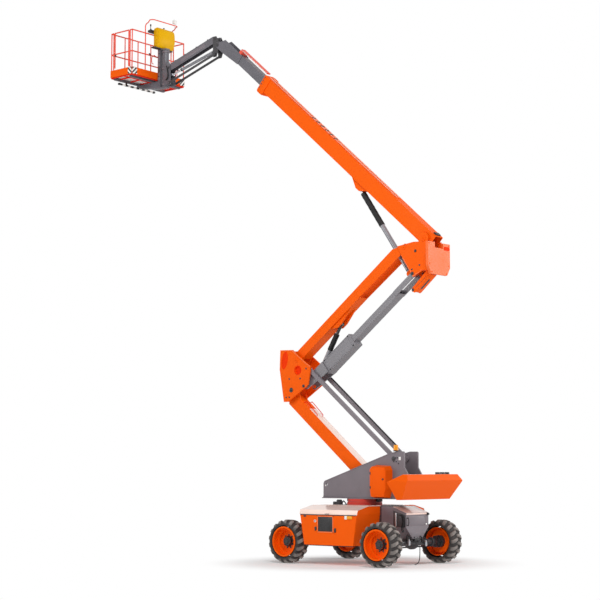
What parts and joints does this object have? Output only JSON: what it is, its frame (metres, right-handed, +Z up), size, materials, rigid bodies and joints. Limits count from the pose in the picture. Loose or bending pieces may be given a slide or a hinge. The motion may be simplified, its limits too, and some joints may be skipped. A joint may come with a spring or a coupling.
{
  "type": "articulating boom lift",
  "caption": "Self-propelled articulating boom lift in raised posture: twin risers, telescoping main boom, jib, turning work platform, slewing counterweighted turntable, four lugged tyres.",
  "frame": {"origin": "on the ground, below the centre of the whole machine's bounding box", "axes": "+X towards the counterweight and the steered axle, -Y the machine's left side with the platform's gate, +Z up; the boom reaches towards -X"},
  "size_m": [9.2425, 2.49, 13.2365],
  "materials": {
    "amber": "glossy",
    "chrome": "polished",
    "dark": "satin paint",
    "grey": "satin paint",
    "iron": "rough",
    "orange": "satin paint",
    "rail": "satin paint",
    "rubber": "matt",
    "tyre": "matt rubber"
  },
  "bodies": {
    "chassis": {"chassis_frame": "grey", "rear_hood": "grey", "side_box_left": "orange", "side_box_right": "orange", "power_units": "iron", "axle_front": "dark", "axle_rear": "dark", "slew_ring": "rail", "lashing_lugs": "dark", "tow_lug": "dark", "earthing_strap": "rubber"},
    "hood_left": {"hood_left": "orange"},
    "hood_right": {"hood_right": "orange"},
    "knuckle_left": {"knuckle_left": "dark"},
    "knuckle_right": {"knuckle_right": "dark"},
    "tie_rod": {"tie_rod": "dark"},
    "turntable": {"turntable_frame": "grey", "counterweight": "orange", "control_pod": "orange", "beacon": "amber"},
    "lower_riser": {"lower_riser": "orange"},
    "lower_bars": {"lower_bars": "grey"},
    "lower_knuckle": {"lower_knuckle": "orange"},
    "upper_riser": {"upper_riser": "orange"},
    "upper_link": {"upper_link": "grey"},
    "upper_knuckle": {"upper_knuckle": "orange", "knuckle_cover": "orange"},
    "riser_barrel": {"riser_barrel": "grey"},
    "riser_rod": {"riser_rod": "chrome"},
    "main_boom": {"main_boom": "orange"},
    "lift_barrel": {"lift_barrel": "grey"},
    "lift_rod": {"lift_rod": "chrome"},
    "fly_boom": {"fly_boom": "grey", "fly_head": "dark", "power_track": "rail"},
    "jib_base": {"jib_base": "grey"},
    "jib_beam": {"jib_beam": "grey"},
    "jib_link": {"jib_link": "dark"},
    "jib_barrel": {"jib_barrel": "grey"},
    "jib_rod": {"jib_rod": "chrome"},
    "platform_mount": {"platform_mount": "grey"},
    "platform": {"platform_support": "dark", "platform_floor": "rail", "platform_rails": "rail", "toe_boards": "orange", "console": "dark", "safety_bar": "rail"},
    "gate": {"gate": "rail"},
    "wheel_front_left": {"tyre_front_left": "tyre", "rim_front_left": "orange"},
    "wheel_front_right": {"tyre_front_right": "tyre", "rim_front_right": "orange"},
    "wheel_rear_left": {"tyre_rear_left": "tyre", "rim_rear_left": "orange"},
    "wheel_rear_right": {"tyre_rear_right": "tyre", "rim_rear_right": "orange"}
  },
  "joints": [
    {"name": "slew", "type": "hinge", "parent": "chassis", "child": "turntable", "pos_m": [2.5894, 0, 1.3], "axis": [0, 0, 1], "range_deg": [-180, 180]},
    {"name": "riser_lift", "type": "hinge", "parent": "turntable", "child": "lower_riser", "pos_m": [3.1194, 0, 1.75], "axis": [0, 1, 0], "range_deg": [-30, 30]},
    {"name": "lower_bars_swing", "type": "hinge", "parent": "turntable", "child": "lower_bars", "pos_m": [3.5694, 0, 2.23], "axis": [0, 1, 0], "range_deg": [-30.06, 30.06]},
    {"name": "lower_knuckle_level", "type": "hinge", "parent": "lower_riser", "child": "lower_knuckle", "pos_m": [0.71984, 0, 3.77062], "axis": [0, 1, 0], "range_deg": [-30.06, 30.06]},
    {"name": "upper_riser_lift", "type": "hinge", "parent": "lower_knuckle", "child": "upper_riser", "pos_m": [0.86984, 0, 4.44062], "axis": [0, 1, 0], "range_deg": [-30.06, 30.06]},
    {"name": "upper_link_swing", "type": "hinge", "parent": "lower_knuckle", "child": "upper_link", "pos_m": [1.07984, 0, 3.85062], "axis": [0, 1, 0], "range_deg": [-30.06, 30.06]},
    {"name": "upper_knuckle_level", "type": "hinge", "parent": "upper_riser", "child": "upper_knuckle", "pos_m": [3.83013, 0, 6.74099], "axis": [0, 1, 0], "range_deg": [-30.06, 30.06]},
    {"name": "riser_cylinder_swing", "type": "hinge", "parent": "upper_link", "child": "riser_barrel", "pos_m": [1.33993, 0, 4.14011], "axis": [0, 1, 0], "range_deg": [-9.66, 9.66]},
    {"name": "riser_cylinder_stroke", "type": "slide", "parent": "riser_barrel", "child": "riser_rod", "axis": [0.5048, 0, 0.8632], "range_m": [-0.24993, 0.24993]},
    {"name": "main_lift", "type": "hinge", "parent": "upper_knuckle", "child": "main_boom", "pos_m": [4.33013, 0, 6.88099], "axis": [0, 1, 0], "range_deg": [-41.4, 33.6]},
    {"name": "lift_cylinder_swing", "type": "hinge", "parent": "upper_knuckle", "child": "lift_barrel", "pos_m": [3.87013, 0, 6.17099], "axis": [0, 1, 0], "range_deg": [-37.85, 30.74]},
    {"name": "lift_cylinder_stroke", "type": "slide", "parent": "lift_barrel", "child": "lift_rod", "axis": [-0.5603, 0, 0.8283], "range_m": [-0.56613, 0.45987]},
    {"name": "telescope", "type": "slide", "parent": "main_boom", "child": "fly_boom", "axis": [-0.7501, 0, 0.6613], "range_m": [-0.95, 2.8]},
    {"name": "jib_level", "type": "hinge", "parent": "fly_boom", "child": "jib_base", "pos_m": [-1.75945, 0, 12.15103], "axis": [0, 1, 0], "range_deg": [-33.68, 41.48]},
    {"name": "jib_lift", "type": "hinge", "parent": "jib_base", "child": "jib_beam", "pos_m": [-1.85946, 0, 12.32103], "axis": [0, 1, 0], "range_deg": [-48.5, 86.5]},
    {"name": "jib_link_swing", "type": "hinge", "parent": "jib_base", "child": "jib_link", "pos_m": [-1.84946, 0, 11.93102], "axis": [0, 1, 0], "range_deg": [-48.67, 86.67]},
    {"name": "platform_level", "type": "hinge", "parent": "jib_beam", "child": "platform_mount", "pos_m": [-3.40699, 0, 11.86262], "axis": [0, 1, 0], "range_deg": [-86.67, 48.67]},
    {"name": "jib_cylinder_swing", "type": "hinge", "parent": "jib_base", "child": "jib_barrel", "pos_m": [-1.90945, 0, 12.05102], "axis": [0, 1, 0], "range_deg": [-50.5, 89.93]},
    {"name": "jib_cylinder_stroke", "type": "slide", "parent": "jib_barrel", "child": "jib_rod", "axis": [-0.9707, 0, -0.2403], "range_m": [-0.09021, 0.15985]},
    {"name": "platform_turn", "type": "hinge", "parent": "platform_mount", "child": "platform", "pos_m": [-3.60699, 0, 11.86262], "axis": [0, 0, 1], "range_deg": [-90, 90]},
    {"name": "gate_swing", "type": "hinge", "parent": "platform", "child": "gate", "pos_m": [-3.99199, -0.899, 12.26262], "axis": [0, 0, -1], "range_deg": [0, 90]},
    {"name": "hood_left_open", "type": "hinge", "parent": "chassis", "child": "hood_left", "pos_m": [2.5894, -0.388, 1.2413], "axis": [-1, 0, 0], "range_deg": [0, 50]},
    {"name": "hood_right_open", "type": "hinge", "parent": "chassis", "child": "hood_right", "pos_m": [2.5894, 0.388, 1.2413], "axis": [1, 0, 0], "range_deg": [0, 50]},
    {"name": "steer", "type": "hinge", "parent": "chassis", "child": "knuckle_left", "pos_m": [3.8394, -0.9275, 0.465], "axis": [0, 0, 1], "range_deg": [-35, 35]},
    {"name": "steer_right", "type": "hinge", "parent": "chassis", "child": "knuckle_right", "pos_m": [3.8394, 0.9275, 0.465], "axis": [0, 0, 1], "range_deg": [-35.07, 35.07]},
    {"name": "tie_rod_shift", "type": "slide", "parent": "chassis", "child": "tie_rod", "axis": [0, 1, 0], "range_m": [-0.09893, 0.09893]},
    {"name": "wheel_front_left_spin", "type": "hinge", "parent": "chassis", "child": "wheel_front_left", "pos_m": [1.3394, -1.0675, 0.465], "axis": [0, 1, 0], "continuous": true},
    {"name": "wheel_front_right_spin", "type": "hinge", "parent": "chassis", "child": "wheel_front_right", "pos_m": [1.3394, 1.0675, 0.465], "axis": [0, 1, 0], "continuous": true},
    {"name": "wheel_rear_left_spin", "type": "hinge", "parent": "knuckle_left", "child": "wheel_rear_left", "pos_m": [3.8394, -1.0675, 0.465], "axis": [0, 1, 0], "continuous": true},
    {"name": "wheel_rear_right_spin", "type": "hinge", "parent": "knuckle_right", "child": "wheel_rear_right", "pos_m": [3.8394, 1.0675, 0.465], "axis": [0, 1, 0], "continuous": true}
  ],
  "couplings": [
    {"joint": "lower_bars_swing", "follows": "riser_lift", "ratio": 1},
    {"joint": "lower_knuckle_level", "follows": "riser_lift", "ratio": -1},
    {"joint": "upper_riser_lift", "follows": "riser_lift", "ratio": -1},
    {"joint": "upper_link_swing", "follows": "riser_lift", "ratio": -1},
    {"joint": "upper_knuckle_level", "follows": "riser_lift", "ratio": 1},
    {"joint": "riser_cylinder_swing", "follows": "riser_lift", "ratio": 0.32139},
    {"joint": "riser_cylinder_stroke", "follows": "riser_lift", "m_per_rad": 0.47448},
    {"joint": "lift_cylinder_swing", "follows": "main_lift", "ratio": 0.91248},
    {"joint": "lift_cylinder_stroke", "follows": "main_lift", "m_per_rad": 0.78055},
    {"joint": "jib_level", "follows": "main_lift", "ratio": -1},
    {"joint": "jib_link_swing", "follows": "jib_lift", "ratio": 1},
    {"joint": "platform_level", "follows": "jib_lift", "ratio": -1},
    {"joint": "jib_cylinder_swing", "follows": "jib_lift", "ratio": 1.0376},
    {"joint": "jib_cylinder_stroke", "follows": "jib_lift", "m_per_rad": 0.10501},
    {"joint": "steer_right", "follows": "steer", "ratio": 1},
    {"joint": "tie_rod_shift", "follows": "steer", "m_per_rad": -0.16}
  ]
}
